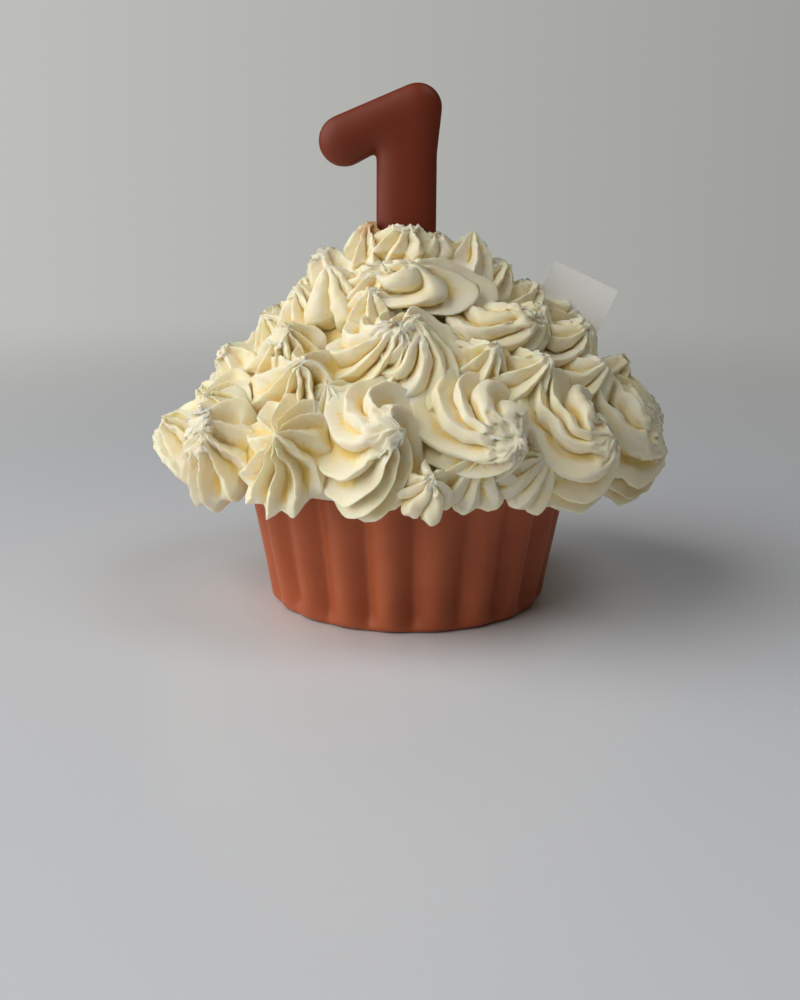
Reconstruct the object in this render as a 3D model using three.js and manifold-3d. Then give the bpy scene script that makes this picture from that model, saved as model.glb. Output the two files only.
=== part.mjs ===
// Giant cupcake cake with piped cream, a chocolate number one and a small blank card.
// Millimetres, +Z up. The origin is the centre of the cup's flat base, and the front faces -Y.
import * as THREE from 'three';
import { mergeVertices } from 'three/addons/utils/BufferGeometryUtils.js';
import Module from 'manifold-3d';

// ---- driving dimensions ----

const GAP = 0.3; // free space between neighbouring pieces

const CUP_HEIGHT = 62;
const CUP_BASE_RADIUS = 64.5;
const CUP_RIM_RADIUS = 75.8;
const FLUTES = 20;
const FLUTE_DEPTH = 4.7;
// The wall from the foot up: [height, how far it lies inside the plain cone, share of the flute depth]
const CUP_PROFILE = [
  [0, 3, 0],
  [1, 0.8, 0.3],
  [4.5, 0, 0.7],
  [9, 0, 1],
  [CUP_HEIGHT, 0, 1],
];
const STEPS_PER_FLUTE = 4;
const FIRST_RIDGE = -78.3; // degrees from +X, so that a valley faces the front

const CREAM_WAIST_RADIUS = 108; // circle of dollop centres at CREAM_WAIST_Z
const CREAM_WAIST_Z = 60;
const CREAM_RISE = 115; // height over which the circle of centres closes
const CREAM_CURVE = 1.35;
const CORE_INSET = 4.5; // how far the core lies inside the dollop centres
const CORE_DROP = 1.4; // and below them
const CORE_FOOT_RADIUS = 78;
const CORE_SHOULDER_Z = 68; // where the core bulges out over its foot
const CORE_TUCK = 9; // how far it is drawn in there, fading out upward over CORE_TUCK_FADE
const CORE_TUCK_FADE = 6;
const CORE_BROW_Z = 163; // last ring of the core, and its peak
const CORE_PEAK_Z = 166;
const SWELL = 12; // how much fuller the dome is at the right
const SWELL_Z = 113;
const SWELL_WIDTH = 22;

const NUMBER_DEPTH = 13;
const NUMBER_TOP_Z = 237.2;
const NUMBER_FOOT_Z = 146;
const NUMBER_ROUND = 5;
const STEM_LEFT = -15.1;
const STEM_RIGHT = 12.3;
const NOTCH_Z = 206.2;
const CORNER_RADIUS = 11;
const CORNER_X = 3.4;
const BULB_RADIUS = 11.6;
const BULB_X = -29.6;
const BULB_Z = 211.6;

const CARD_WIDTH = 33;
const CARD_HEIGHT = 46;
const CARD_THICKNESS = 0.8;
const CARD_LEAN = 24; // degrees clockwise, seen from the front
const CARD_TURN = -14; // degrees about the vertical, to face a little to the left
const CARD_TOP_LEFT = [68.3, 14, 157.8];

// Piped dollops that face the front, one row each, read off the cake:
// [azimuth, height, half width, half length, reach, twist, apex right, apex up, ribs, crest, tear]
// Azimuth 0 is the front and + is to the right. Angles in degrees and lengths in millimetres.
// Crest is 0 for round ribs and 1 for sharp ones, and tear is how much of the tip is torn off.
const FRONT_DOLLOPS = [
  // skirt over the rim of the cup
  [-100, 70, 23, 22, 23, 20, -2, -4, 10, 0.9, 0.4],
  [-57, 80, 26, 28, 24, 25, 11, 8, 11, 0.9, 1],
  [-33, 84, 24, 28, 23, 35, 9, 5, 11, 1, 0.1],
  [-10, 90, 24, 31, 25, 135, 10, 3, 8, 0.65, 0.7],
  [4, 73, 12, 13, 13, 30, 2, 8, 7, 0.1, 0.4],
  [16, 78, 23, 15, 10, 30, 2, 12, 9, 0.6, 0.3],
  [16, 97, 25, 27, 25, 160, 12, -17, 7, 0.2, 0.7],
  [43, 90, 25, 33, 26, 215, 4, -10, 6, 0.2, 0.6],
  [68, 84, 26, 32, 27, 215, 3, -5, 6, 0.2, 0.8],
  [92, 86, 24, 28, 25, 180, -3, -4, 7, 0.3, 0.6],
  [31, 76, 19, 14, 9, 30, 4, 8, 9, 0.6, 0.5],
  [-79, 76, 17, 18, 20, 20, 0, 4, 9, 0.9, 0.5],
  // second tier
  [-68, 92, 27, 22, 17, 60, 14, 4, 10, 0.7, 0.1],
  [-89, 105, 19, 16, 18, 20, 0, 4, 9, 1, 0.8],
  [-40, 108, 28, 22, 19, 25, 12, 5, 9, 0.9, 0.2],
  [-57, 118, 24, 20, 17, 40, 12, 6, 10, 0.7, 0.6],
  [-12, 122, 24, 25, 19, 80, 8, 5, 11, 0.6, 0.5],
  [5, 118, 21, 29, 18, 170, -5, 13, 8, 0.25, 0.5],
  [26, 118, 15, 15, 17, 15, 0, 1, 8, 0.9, 0.5],
  [37, 111, 18, 17, 18, 30, 4, 1, 9, 0.8, 0.4],
  [67, 118, 21, 18, 19, 90, 4, 4, 9, 0.3, 0.5],
  [93, 98, 19, 15, 20, 20, -4, 8, 9, 0.8, 0.7],
  [62, 106, 17, 15, 17, 60, 2, 3, 9, 0.5, 0.4],
  [-24, 102, 15, 14, 11, 20, 0, 6, 9, 0.6, 0.1],
  // third tier
  [42, 131, 26, 20, 17, 90, 9, -10, 8, 0.3, 0.5],
  [-94, 136, 17, 16, 14, 20, 0, 6, 9, 0.9, 0.4],
  [-48, 140, 15, 16, 17, 10, -6, 7, 5, 0, 0.1],
  [-27, 149, 20, 16, 13, 30, 5, 0, 9, 0.6, 0.9],
  [22, 149, 29, 22, 14, 150, -17, -2, 6, 0.2, 0.3],
  [86, 135, 17, 15, 18, 50, 4, 2, 9, 0.6, 0.8],
  [-20, 139, 14, 12, 14, 20, 0, 2, 8, 0.6, 0.3],
  [-76, 133, 18, 14, 15, 30, 3, 4, 9, 0.6, 0.5],
  [62, 128, 17, 15, 15, 40, 2, 3, 9, 0.5, 0.5],
  // crown round the number's foot
  [-84, 149, 17, 16, 21, 20, -3, -4, 8, 0.9, 1],
  [84, 146, 16, 13, 17, 30, 2, -2, 8, 0.5, 0.6],
  [-75, 160, 15, 14, 17, 25, 0, 4, 9, 0.8, 0.6],
  [80, 153, 17, 15, 20, 20, 4, 4, 8, 0.8, 0.2],
  [-12, 165, 17, 13, 12, 30, 0, 0, 8, 0.7, 0.8],
  [48, 163, 9, 9, 10, 20, 0, 0, 6, 0.2, 0.3],
];

// Dollops round the back, in rings: [height, first azimuth, last azimuth, how many, half size, reach]
const BACK_RINGS = [
  [80, 116, 236, 6, 26, 24],
  [104, 120, 242, 5, 25, 18],
  [121, 99, 240, 5, 22, 17],
  [142, 120, 238, 3, 19, 15],
  [158, 145, 215, 2, 16, 14],
];

// Spread of the back dollops round their rings: [middle, most change either way]
const BACK_TURN = [0, 3];
const BACK_LIFT = [0, 2.5];
const BACK_WIDTH = [1, 0.08];
const BACK_LENGTH = [1.08, 0.1];
const BACK_TWIST = [70, 55];
const BACK_APEX_RIGHT = [0, 5];
const BACK_APEX_UP = [0, 3];
const BACK_RIBS = [9, 1];
const BACK_CREST = [0.45, 0.45];
const BACK_TEAR = [0.5, 0.45];

// A dollop points this many degrees above the horizon: [at or under this height, degrees], up to
const LOW_TILT = [70, 12];
const HIGH_TILT = [165, 78];
const LEAN_POWER = 1.5; // how late the apex moves off the middle
const BASE_ANGLE = -35; // latitude where a dollop's hidden base is cut, degrees
const BASE_SQUASH = 0.6; // a dollop's underside against its reach
const BULGE = 1.25; // profile of a sharp dollop: 1 is a cone, 2 is nearly a ball
const ROUND_BULGE = 0.55; // added for a dollop with round ribs
const TIP_POWER = 0.8;
const VALLEY_DEPTH = [0.3, 0.06]; // share of the radius: middle, and change from dollop to dollop
const VALLEY_SINK = 0.14; // how far valleys lie back along the dollop's axis, against its reach
const SINK_POWER = 0.7; // above 0, the sinking fades toward the foot and the tip
const RIB_SKEW = 0.2; // how far the valley of a twisted rib moves off its middle
const FULL_SKEW_TWIST = 90;
const SWIRL_POWER = 1.5; // above 1, a rib turns more near its foot and runs straighter to the tip
const TEAR_CUT = 0.3; // share of the reach that a fully torn tip has lost
const TIP_RING = 0.08; // the last ring of points lies this far under an untorn tip
const TWIST_PER_LEVEL = 50; // a strong twist takes more rings of points
const RIB_SHARE = 0.6; // the solid has this share of the ribs, so they are broader
const FEWEST_RIBS = 4;

// ---- helpers ----

const wasm = await Module();
wasm.setup();

const radians = THREE.MathUtils.degToRad;

function wobble(index, salt) {
  const value = Math.sin(index * 12.9898 + salt * 78.233) * 43758.5453;
  return 2 * (value - Math.floor(value)) - 1;
}

// A value between middle - spread and middle + spread, settled by the seed and the salt.
function vary([middle, spread], seed, salt) {
  return middle + spread * wobble(seed, salt);
}

function toSolid(geometry) {
  const bare = geometry.index ? geometry.clone() : geometry;
  bare.deleteAttribute('normal');
  bare.deleteAttribute('uv');
  const merged = mergeVertices(bare, 1e-4);
  return new wasm.Manifold(new wasm.Mesh({
    numProp: 3,
    vertProperties: new Float32Array(merged.attributes.position.array),
    triVerts: new Uint32Array(merged.index.array),
  }));
}

function toGeometry(solid) {
  const mesh = solid.getMesh();
  const geometry = new THREE.BufferGeometry();
  geometry.setAttribute('position', new THREE.BufferAttribute(mesh.vertProperties, 3));
  geometry.setIndex(new THREE.BufferAttribute(mesh.triVerts, 1));
  geometry.computeVertexNormals();
  return geometry;
}

// A closed skin over rings of points, with a fan on the first ring and one on the last.
// Each quad between two rings is split along its shorter diagonal, so that a swirl stays smooth.
function skinOfRings(rings, firstPole, lastPole) {
  const count = rings[0].length;
  const points = [...rings.flat(), firstPole, lastPole];
  const first = points.length - 2;
  const last = points.length - 1;
  const faces = [];
  for (let k = 0; k < count; k += 1) {
    const next = (k + 1) % count;
    faces.push(first, next, k);
    for (let level = 0; level + 1 < rings.length; level += 1) {
      const low = level * count;
      const high = low + count;
      const rising = points[low + k].distanceTo(points[high + next]);
      const falling = points[low + next].distanceTo(points[high + k]);
      if (rising < falling) {
        faces.push(low + k, low + next, high + next, low + k, high + next, high + k);
      } else {
        faces.push(low + k, low + next, high + k, low + next, high + next, high + k);
      }
    }
    const top = (rings.length - 1) * count;
    faces.push(top + k, top + next, last);
  }
  const geometry = new THREE.BufferGeometry();
  const flat = points.flatMap((p) => [p.x, p.y, p.z]);
  geometry.setAttribute('position', new THREE.Float32BufferAttribute(flat, 3));
  geometry.setIndex(faces);
  return geometry;
}

// ---- cup ----

function cupRing(z, baseRadius, fluteDepth) {
  const count = FLUTES * STEPS_PER_FLUTE;
  const ring = [];
  for (let k = 0; k < count; k += 1) {
    const turn = (2 * Math.PI * k) / count;
    const angle = radians(FIRST_RIDGE) + turn;
    const radius = baseRadius - fluteDepth * (1 - Math.abs(Math.cos((FLUTES * turn) / 2)));
    ring.push(new THREE.Vector3(radius * Math.cos(angle), radius * Math.sin(angle), z));
  }
  return ring;
}

function cupWallRadius(z) {
  return CUP_BASE_RADIUS + ((CUP_RIM_RADIUS - CUP_BASE_RADIUS) * z) / CUP_HEIGHT;
}

function cupGeometry(grow) {
  const rings = CUP_PROFILE.map(([z, inset, flute]) => {
    const top = z === CUP_HEIGHT ? grow : 0;
    const height = z === 0 ? -grow : z + top;
    return cupRing(height, cupWallRadius(z) - inset + grow, flute * FLUTE_DEPTH);
  });
  return skinOfRings(rings, new THREE.Vector3(0, 0, -grow), new THREE.Vector3(0, 0, CUP_HEIGHT + grow));
}

// ---- cream ----

// Radius of the circle of dollop centres: a dome that is fuller at the right.
function centreRadius(z, azimuth) {
  const rise = THREE.MathUtils.clamp((z - CREAM_WAIST_Z) / CREAM_RISE, 0, 1);
  const fuller = Math.max(Math.sin(azimuth), 0) * Math.exp(-(((z - SWELL_Z) / SWELL_WIDTH) ** 2));
  return CREAM_WAIST_RADIUS * (1 - rise ** CREAM_CURVE) + SWELL * fuller;
}

// Degrees that a dollop at this height points above the horizon.
function axisTilt(z) {
  const [lowZ, lowTilt] = LOW_TILT;
  const [highZ, highTilt] = HIGH_TILT;
  return THREE.MathUtils.mapLinear(THREE.MathUtils.clamp(z, lowZ, highZ), lowZ, highZ, lowTilt, highTilt);
}

// The plain dome that the dollops stand on.
function coreGeometry() {
  const levels = 6;
  const around = 30;
  const rings = [];
  for (let level = -1; level < levels; level += 1) {
    const z = THREE.MathUtils.lerp(CORE_SHOULDER_Z, CORE_BROW_Z, Math.max(level, 0) / (levels - 1));
    const tuck = CORE_TUCK * Math.exp((CORE_SHOULDER_Z - z) / CORE_TUCK_FADE) + CORE_INSET;
    const ring = [];
    for (let k = 0; k < around; k += 1) {
      const azimuth = (2 * Math.PI * k) / around;
      const radius = level < 0 ? CORE_FOOT_RADIUS : centreRadius(z, azimuth) - tuck;
      const height = level < 0 ? CUP_HEIGHT + GAP : z - CORE_DROP;
      ring.push(new THREE.Vector3(radius * Math.sin(azimuth), -radius * Math.cos(azimuth), height));
    }
    rings.push(ring);
  }
  const foot = new THREE.Vector3(0, 0, CUP_HEIGHT + GAP);
  return skinOfRings(rings, foot, new THREE.Vector3(0, 0, CORE_PEAK_Z));
}

// A dollop's rings, from its hidden underside up: [share of its half size, share of its reach]
function dollopLevels(twist, crest, tear) {
  const bulge = BULGE + ROUND_BULGE * (1 - crest);
  const top = 1 - TEAR_CUT * tear - TIP_RING * (1 - tear);
  const steps = Math.max(2, Math.ceil(twist / TWIST_PER_LEVEL));
  const levels = [[Math.cos(radians(BASE_ANGLE)), BASE_SQUASH * Math.sin(radians(BASE_ANGLE))]];
  for (let step = 0; step <= steps; step += 1) {
    const rise = (top * step) / steps;
    levels.push([(1 - rise ** bulge) ** TIP_POWER, rise]);
  }
  return levels;
}

function dollopGeometry(row, index) {
  const [azimuth, height, halfWidth, halfLength, reach, twist, apexRight, apexUp, allRibs, crest, tear] = row;
  const ribs = Math.max(FEWEST_RIBS, Math.round(allRibs * RIB_SHARE));
  const turn = radians(azimuth);
  const tilt = radians(axisTilt(height));
  const outward = new THREE.Vector3(Math.sin(turn), -Math.cos(turn), 0);
  const right = new THREE.Vector3(Math.cos(turn), Math.sin(turn), 0);
  const axis = outward.clone().multiplyScalar(Math.cos(tilt)).add(new THREE.Vector3(0, 0, Math.sin(tilt)));
  const up = new THREE.Vector3().crossVectors(axis, right);
  const centre = outward.clone().multiplyScalar(centreRadius(height, turn)).setZ(height);
  const start = Math.PI * wobble(index, 1);
  const valleyDepth = vary(VALLEY_DEPTH, index, 2);
  const skew = RIB_SKEW * Math.min(twist / FULL_SKEW_TWIST, 1);
  const valleyTurn = (0.5 + skew) * ((2 * Math.PI) / ribs);

  const at = (angle, radiusShare, rise, sink) => {
    const share = Math.max(rise, 0) ** LEAN_POWER;
    const side = halfWidth * radiusShare * Math.cos(angle) + apexRight * share;
    const along = halfLength * radiusShare * Math.sin(angle) + apexUp * share;
    const out = reach * (rise - sink);
    return centre.clone().addScaledVector(right, side).addScaledVector(up, along).addScaledVector(axis, out);
  };

  const levels = dollopLevels(twist, crest, tear);
  const low = levels[0][1];
  const rings = levels.map(([share, rise]) => {
    const swirl = radians(twist) * (1 - ((1 - rise) / (1 - low)) ** SWIRL_POWER);
    const sink = VALLEY_SINK * Math.sin(Math.PI * Math.max(rise, 0)) ** SINK_POWER;
    const ring = [];
    for (let rib = 0; rib < ribs; rib += 1) {
      const angle = start + (2 * Math.PI * rib) / ribs + swirl;
      ring.push(at(angle, share, rise, 0));
      ring.push(at(angle + valleyTurn, share * (1 - valleyDepth), rise, sink));
    }
    return ring;
  });
  return skinOfRings(rings, at(0, 0, low, 0), at(0, 0, 1 - TEAR_CUT * tear, 0));
}

function backRows() {
  const rows = [];
  for (const [height, first, last, count, halfSize, reach] of BACK_RINGS) {
    for (let k = 0; k < count; k += 1) {
      const seed = 100 + rows.length;
      rows.push([
        THREE.MathUtils.lerp(first, last, k / (count - 1)) + vary(BACK_TURN, seed, 3),
        height + vary(BACK_LIFT, seed, 4),
        halfSize * vary(BACK_WIDTH, seed, 5),
        halfSize * vary(BACK_LENGTH, seed, 6),
        reach * vary(BACK_WIDTH, seed, 7),
        vary(BACK_TWIST, seed, 8),
        vary(BACK_APEX_RIGHT, seed, 9),
        vary(BACK_APEX_UP, seed, 10),
        Math.round(vary(BACK_RIBS, seed, 11)),
        vary(BACK_CREST, seed, 12),
        vary(BACK_TEAR, seed, 17),
      ]);
    }
  }
  return rows;
}

function creamGeometry() {
  let solid = toSolid(coreGeometry());
  [...FRONT_DOLLOPS, ...backRows()].forEach((row, index) => {
    solid = solid.add(toSolid(dollopGeometry(row, index)));
  });
  solid = solid.subtract(toSolid(cupGeometry(GAP)));
  solid = solid.subtract(toSolid(numberGeometry(GAP)));
  solid = solid.subtract(toSolid(cardGeometry(GAP)));
  const pieces = solid.decompose().sort((a, b) => b.volume() - a.volume());
  return toGeometry(pieces[0]);
}

// ---- number ----

function numberShape(grow) {
  const flagNormal = radians(113.6); // direction square to the flag's upper edge
  const underside = radians(-66); // direction square to the flag's lower edge
  const shape = new THREE.Shape();
  const footZ = NUMBER_FOOT_Z - grow;
  const cornerZ = NUMBER_TOP_Z - CORNER_RADIUS;
  shape.moveTo(STEM_LEFT - grow, footZ);
  shape.lineTo(STEM_RIGHT + grow, footZ);
  shape.lineTo(STEM_RIGHT + grow, NOTCH_Z);
  shape.absarc(CORNER_X, cornerZ, CORNER_RADIUS + grow, 0, flagNormal, false);
  shape.absarc(BULB_X, BULB_Z, BULB_RADIUS + grow, flagNormal, 2 * Math.PI + underside, false);
  shape.lineTo(STEM_LEFT - grow, NOTCH_Z - grow);
  return shape;
}

function numberGeometry(grow) {
  const flat = NUMBER_DEPTH - 2 * NUMBER_ROUND;
  const geometry = new THREE.ExtrudeGeometry(numberShape(grow), {
    depth: flat,
    curveSegments: 9,
    bevelThickness: NUMBER_ROUND + grow,
    bevelSize: NUMBER_ROUND + grow,
    bevelOffset: -NUMBER_ROUND - grow,
    bevelSegments: 3,
  });
  return geometry.translate(0, 0, -flat / 2).rotateX(Math.PI / 2);
}

// ---- card ----

function cardGeometry(grow) {
  const geometry = new THREE.BoxGeometry(
    CARD_WIDTH + 2 * grow,
    CARD_THICKNESS + 2 * grow,
    CARD_HEIGHT + 2 * grow,
  );
  return geometry.translate(CARD_WIDTH / 2, 0, -CARD_HEIGHT / 2)
    .rotateY(radians(CARD_LEAN))
    .rotateZ(radians(CARD_TURN))
    .translate(...CARD_TOP_LEFT);
}

// ---- the cake ----

const chocolate = new THREE.MeshStandardMaterial({ color: '#7d3f27', roughness: 0.5, metalness: 0 });
const cream = new THREE.MeshStandardMaterial({ color: '#efe6c0', roughness: 0.6, metalness: 0 });
const paper = new THREE.MeshStandardMaterial({ color: '#f2f2f2', roughness: 0.7, metalness: 0 });

function named(name, geometry, material) {
  const mesh = new THREE.Mesh(geometry, material);
  mesh.name = name;
  return mesh;
}

const cake = new THREE.Group();
cake.add(named('cup', toGeometry(toSolid(cupGeometry(0))), chocolate));
cake.add(named('cream', creamGeometry(), cream));
cake.add(named('number_one', toGeometry(toSolid(numberGeometry(0))), chocolate));
cake.add(named('tag_card', toGeometry(toSolid(cardGeometry(0))), paper));

export default cake;
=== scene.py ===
"""Looks of the giant cupcake cake: fluted chocolate cup, piped cream, figure one and card.

Sizes are in millimetres in the tables and in metres in the scene, in the frame's own axes.
"""

import math

import bmesh
import bpy
import numpy as np
from mathutils import Matrix, Vector, noise


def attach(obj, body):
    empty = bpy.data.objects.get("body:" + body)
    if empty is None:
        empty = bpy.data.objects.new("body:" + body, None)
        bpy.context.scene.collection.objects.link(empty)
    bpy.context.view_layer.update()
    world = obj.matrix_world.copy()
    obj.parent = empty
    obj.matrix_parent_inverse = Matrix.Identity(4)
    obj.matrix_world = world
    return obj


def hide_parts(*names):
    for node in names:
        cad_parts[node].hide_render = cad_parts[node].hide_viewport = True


bl_info = {
    "name": "Giant cupcake cake",
    "version": (1, 0, 0),
    "blender": (4, 5, 0),
    "location": "3D View > Sidebar > Cake",
    "description": "Builds the piped cream, chocolate cup, figure one and card round the packed frame",
    "category": "Object",
}

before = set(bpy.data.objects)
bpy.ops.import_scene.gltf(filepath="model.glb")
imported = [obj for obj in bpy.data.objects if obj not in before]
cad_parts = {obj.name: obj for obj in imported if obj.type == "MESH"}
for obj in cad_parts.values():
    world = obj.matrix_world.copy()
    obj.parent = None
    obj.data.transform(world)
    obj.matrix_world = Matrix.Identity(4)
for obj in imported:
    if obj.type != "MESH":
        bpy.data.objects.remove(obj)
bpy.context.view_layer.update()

MM = 0.001
BODY = "root"
GAP = 0.3  # free space between neighbouring pieces
CUP_TOP = 62.0

# ---- the dome that the dollops stand on, in millimetres and degrees ----

WAIST_RADIUS = 108.0  # circle of dollop centres at the waist
WAIST_Z = 60.0
RISE = 115.0  # height over which that circle closes
CURVE = 1.35
SWELL = 12.0  # how much fuller the dome is at the right
SWELL_Z = 113.0
SWELL_WIDTH = 22.0
LOW_Z, LOW_TILT = 70.0, 12.0  # a dollop at this height points this far above the horizon
HIGH_Z, HIGH_TILT = 165.0, 78.0
CORE_FOOT_RADII = (40.0, 78.0)  # two flat rings on the cup
CORE_SHOULDER_Z = 68.0  # where the core bulges out over its foot
CORE_TUCK = 9.0  # how far it is drawn in there, fading out upward over CORE_TUCK_FADE
CORE_TUCK_FADE = 6.0
CORE_INSET = 4.55  # how far the core lies inside the dollop centres
CORE_DROP = 1.4  # and below them
CORE_BROW_Z = 163.0  # last ring of the core, and its peak
CORE_PEAK_Z = 166.0
CORE_LEVELS = 26
CORE_AROUND = 144

# ---- one dollop ----

HALF_RIB = (0.0, 0.06, 0.18, 0.36, 0.58, 0.8, 1.0)  # columns from a rib's crest to its valley
COLUMNS_PER_RIB = 2 * (len(HALF_RIB) - 1)
ROWS = 40
UNDER_ROWS = 7  # of which this many are on the hidden underside
BASE_ANGLE = -35.0  # latitudes of the underside's first and last rows
UNDER_END = -4.0
BASE_SQUASH = 0.6  # the underside against the reach
TIP_SHARE = 0.985  # the last row lies at this share of the reach
TIP_POWER = 0.8
BULGE = 1.25  # profile of a sharp dollop: 1 is a cone, 2 is nearly a ball
ROUND_BULGE = 0.55  # added for a dollop with round ribs
LEAN_POWER = 1.5  # how late the apex moves off the middle
SWIRL_POWER = 1.5  # above 1, a rib turns more near its foot and runs straighter to the tip
RIB_SKEW = 0.2  # how far the valley of a twisted rib moves off its middle
FULL_SKEW_TWIST = 90.0
ROUND_POWER, ROUND_SHOULDER = 2.1, 0.6  # section of a round rib
SHARP_POWER = 1.35  # section of a sharp rib, hollow beside its crest
EDGE_SOFTNESS = 0.006
EDGE_START = 0.0775  # about the square root of the softness
VALLEY_DEPTH = (0.42, 0.06)  # share of the radius: middle, and change from dollop to dollop
ROUND_VALLEY = 0.4  # how much deeper the valleys between round ribs are
VALLEY_SINK = 0.14  # how far valleys lie back along the dollop's axis, against its reach
SINK_POWER = 0.7  # above 0, the sinking fades toward the foot and the tip
SHALLOW_FOOT = 0.2  # how much shallower the valleys are near the foot
SHALLOW_SHARP = 0.45  # and how much more so between sharp ribs
SHALLOW_FADE = 0.45  # up to this share of the reach
WORN_GAIN, WORN_FLAT = 1.6, 0.85  # how worn a torn tip is, and how much flatter its valleys are
WORN_START, WORN_FADE = 0.92, 0.14  # where along the reach that starts
# How many waves go round a dollop, how large they are, and their salt
RIB_DRIFT = ((1, 0.22, 13), (2, 0.16, 14))
VALLEY_DRIFT = ((1, 0.18, 15), (3, 0.14, 16))
SAGS = ((0.9, 26.0, 0), (0.3, 7.0, 40), (0.07, 2.2, 80))  # size, length and salt of its sagging
WAVE_LENGTH = (1.0, 0.5)  # middle and spread of a wave's length
SEEDS_PER_DOLLOP = 11

TEAR_CUT = 0.3  # share of the reach that a fully torn tip has lost
TORN_START, TORN_MORE, TORN_FADE = 0.85, 0.4, 0.2  # where along the reach the tearing starts
LUMP_SCALE, LUMP_HEIGHT = 6.0, 4.0
CRUMB_SCALE = 2.4
CRUMBS = ((1.3, 5.5), (1.1, 7.5), (1.1, 3.5))  # size and seed along the axis, to the right and up
BEND = (0.6, 0.9)  # direction that a torn end falls in, in radians: middle and spread
BEND_BACK, BEND_ASIDE = 0.75, 0.8
NOISE_STEPS = (3.1, 1.7, 0.9)  # how far one seed's noise lies from the next
OCTAVES = (0.8, 2.1, 3)

# ---- marks on the cream that its colour follows: tearing, a chocolate stain and painted shade in the folds ----

TORN_SIZE = (0.18, 0.4)  # radius of the grainy patch against the reach: plain, and added when torn
TORN_FULL, TORN_MOST = 1.4, 0.8  # how it fades with distance, and its most
STAIN_PLACE = (-15.0, -4.0, 174.0)  # where the figure's chocolate has tinted the cream
STAIN_SIZE = 9.0
STAIN_FULL, STAIN_SLOPE = 1.6, 1.3
# Folds: the cream's colour gets painted shade, darker and yellower, where it lies deep in one
FOLD_CELL = 1.5  # cells in which folds are looked for
FOLD_BLURS = (2, 1)  # cells to each side over which the surface's middle is taken, one after the other
FOLD_MARGIN = 5
FOLD_DEPTH = 1.15  # a vertex this far behind its neighbours' middle is at the bottom of a fold

# [azimuth, height, half width, half length, reach, twist, apex right, apex up, ribs, crest, tear]
# Azimuth 0 is the front and + is to the right. Crest is 0 for round ribs and 1 for sharp ones,
# and tear is how torn and grainy the tip is.
SKIRT = [
    (-100, 70, 23, 22, 23, 20, -2, -4, 10, 0.9, 0.4),
    (-57, 80, 26, 28, 24, 25, 11, 8, 11, 0.9, 1.0),
    (-33, 84, 24, 28, 23, 35, 9, 5, 11, 1.0, 0.1),
    (-10, 90, 24, 31, 25, 135, 10, 3, 8, 0.65, 0.7),
    (4, 73, 12, 13, 13, 30, 2, 8, 7, 0.1, 0.4),
    (16, 78, 23, 15, 10, 30, 2, 12, 9, 0.6, 0.3),
    (16, 97, 25, 27, 25, 160, 12, -17, 7, 0.2, 0.7),
    (43, 90, 25, 33, 26, 215, 4, -10, 6, 0.2, 0.6),
    (68, 84, 26, 32, 27, 215, 3, -5, 6, 0.2, 0.8),
    (92, 86, 24, 28, 25, 180, -3, -4, 7, 0.3, 0.6),
    (31, 76, 19, 14, 9, 30, 4, 8, 9, 0.6, 0.5),
    (-79, 76, 17, 18, 20, 20, 0, 4, 9, 0.9, 0.5),
]
SECOND = [
    (-68, 92, 27, 22, 17, 60, 14, 4, 10, 0.7, 0.1),
    (-89, 105, 19, 16, 18, 20, 0, 4, 9, 1.0, 0.8),
    (-40, 108, 28, 22, 19, 25, 12, 5, 9, 0.9, 0.2),
    (-57, 118, 24, 20, 17, 40, 12, 6, 10, 0.7, 0.6),
    (-12, 122, 24, 25, 19, 80, 8, 5, 11, 0.6, 0.5),
    (5, 118, 21, 29, 18, 170, -5, 13, 8, 0.25, 0.5),
    (26, 118, 15, 15, 17, 15, 0, 1, 8, 0.9, 0.5),
    (37, 111, 18, 17, 18, 30, 4, 1, 9, 0.8, 0.4),
    (67, 118, 21, 18, 19, 90, 4, 4, 9, 0.3, 0.5),
    (93, 98, 19, 15, 20, 20, -4, 8, 9, 0.8, 0.7),
    (62, 106, 17, 15, 17, 60, 2, 3, 9, 0.5, 0.4),
    (-24, 102, 15, 14, 11, 20, 0, 6, 9, 0.6, 0.1),
]
THIRD = [
    (42, 131, 26, 20, 17, 90, 9, -10, 8, 0.3, 0.5),
    (-94, 136, 17, 16, 14, 20, 0, 6, 9, 0.9, 0.4),
    (-48, 140, 15, 16, 17, 10, -6, 7, 5, 0.0, 0.1),
    (-27, 149, 20, 16, 13, 30, 5, 0, 9, 0.6, 0.9),
    (22, 149, 29, 22, 14, 150, -17, -2, 6, 0.2, 0.3),
    (86, 135, 17, 15, 18, 50, 4, 2, 9, 0.6, 0.8),
    (-20, 139, 14, 12, 14, 20, 0, 2, 8, 0.6, 0.3),
    (-76, 133, 18, 14, 15, 30, 3, 4, 9, 0.6, 0.5),
    (62, 128, 17, 15, 15, 40, 2, 3, 9, 0.5, 0.5),
]
CROWN = [
    (-84, 149, 17, 16, 21, 20, -3, -4, 8, 0.9, 1.0),
    (84, 146, 16, 13, 17, 30, 2, -2, 8, 0.5, 0.6),
    (-75, 160, 15, 14, 17, 25, 0, 4, 9, 0.8, 0.6),
    (80, 153, 17, 15, 20, 20, 4, 4, 8, 0.8, 0.2),
    (-12, 165, 17, 13, 12, 30, 0, 0, 8, 0.7, 0.8),
    (48, 163, 9, 9, 10, 20, 0, 0, 6, 0.2, 0.3),
]
# Rings round the back: [height, first azimuth, last azimuth, how many, half size, reach]
BACK_RINGS = [
    (80, 116, 236, 6, 26, 24),
    (104, 120, 242, 5, 25, 18),
    (121, 99, 240, 5, 22, 17),
    (142, 120, 238, 3, 19, 15),
    (158, 145, 215, 2, 16, 14),
]
BACK_TIERS = ("skirt", "second", "second", "third", "crown")
BACK_SEED = 100
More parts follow.
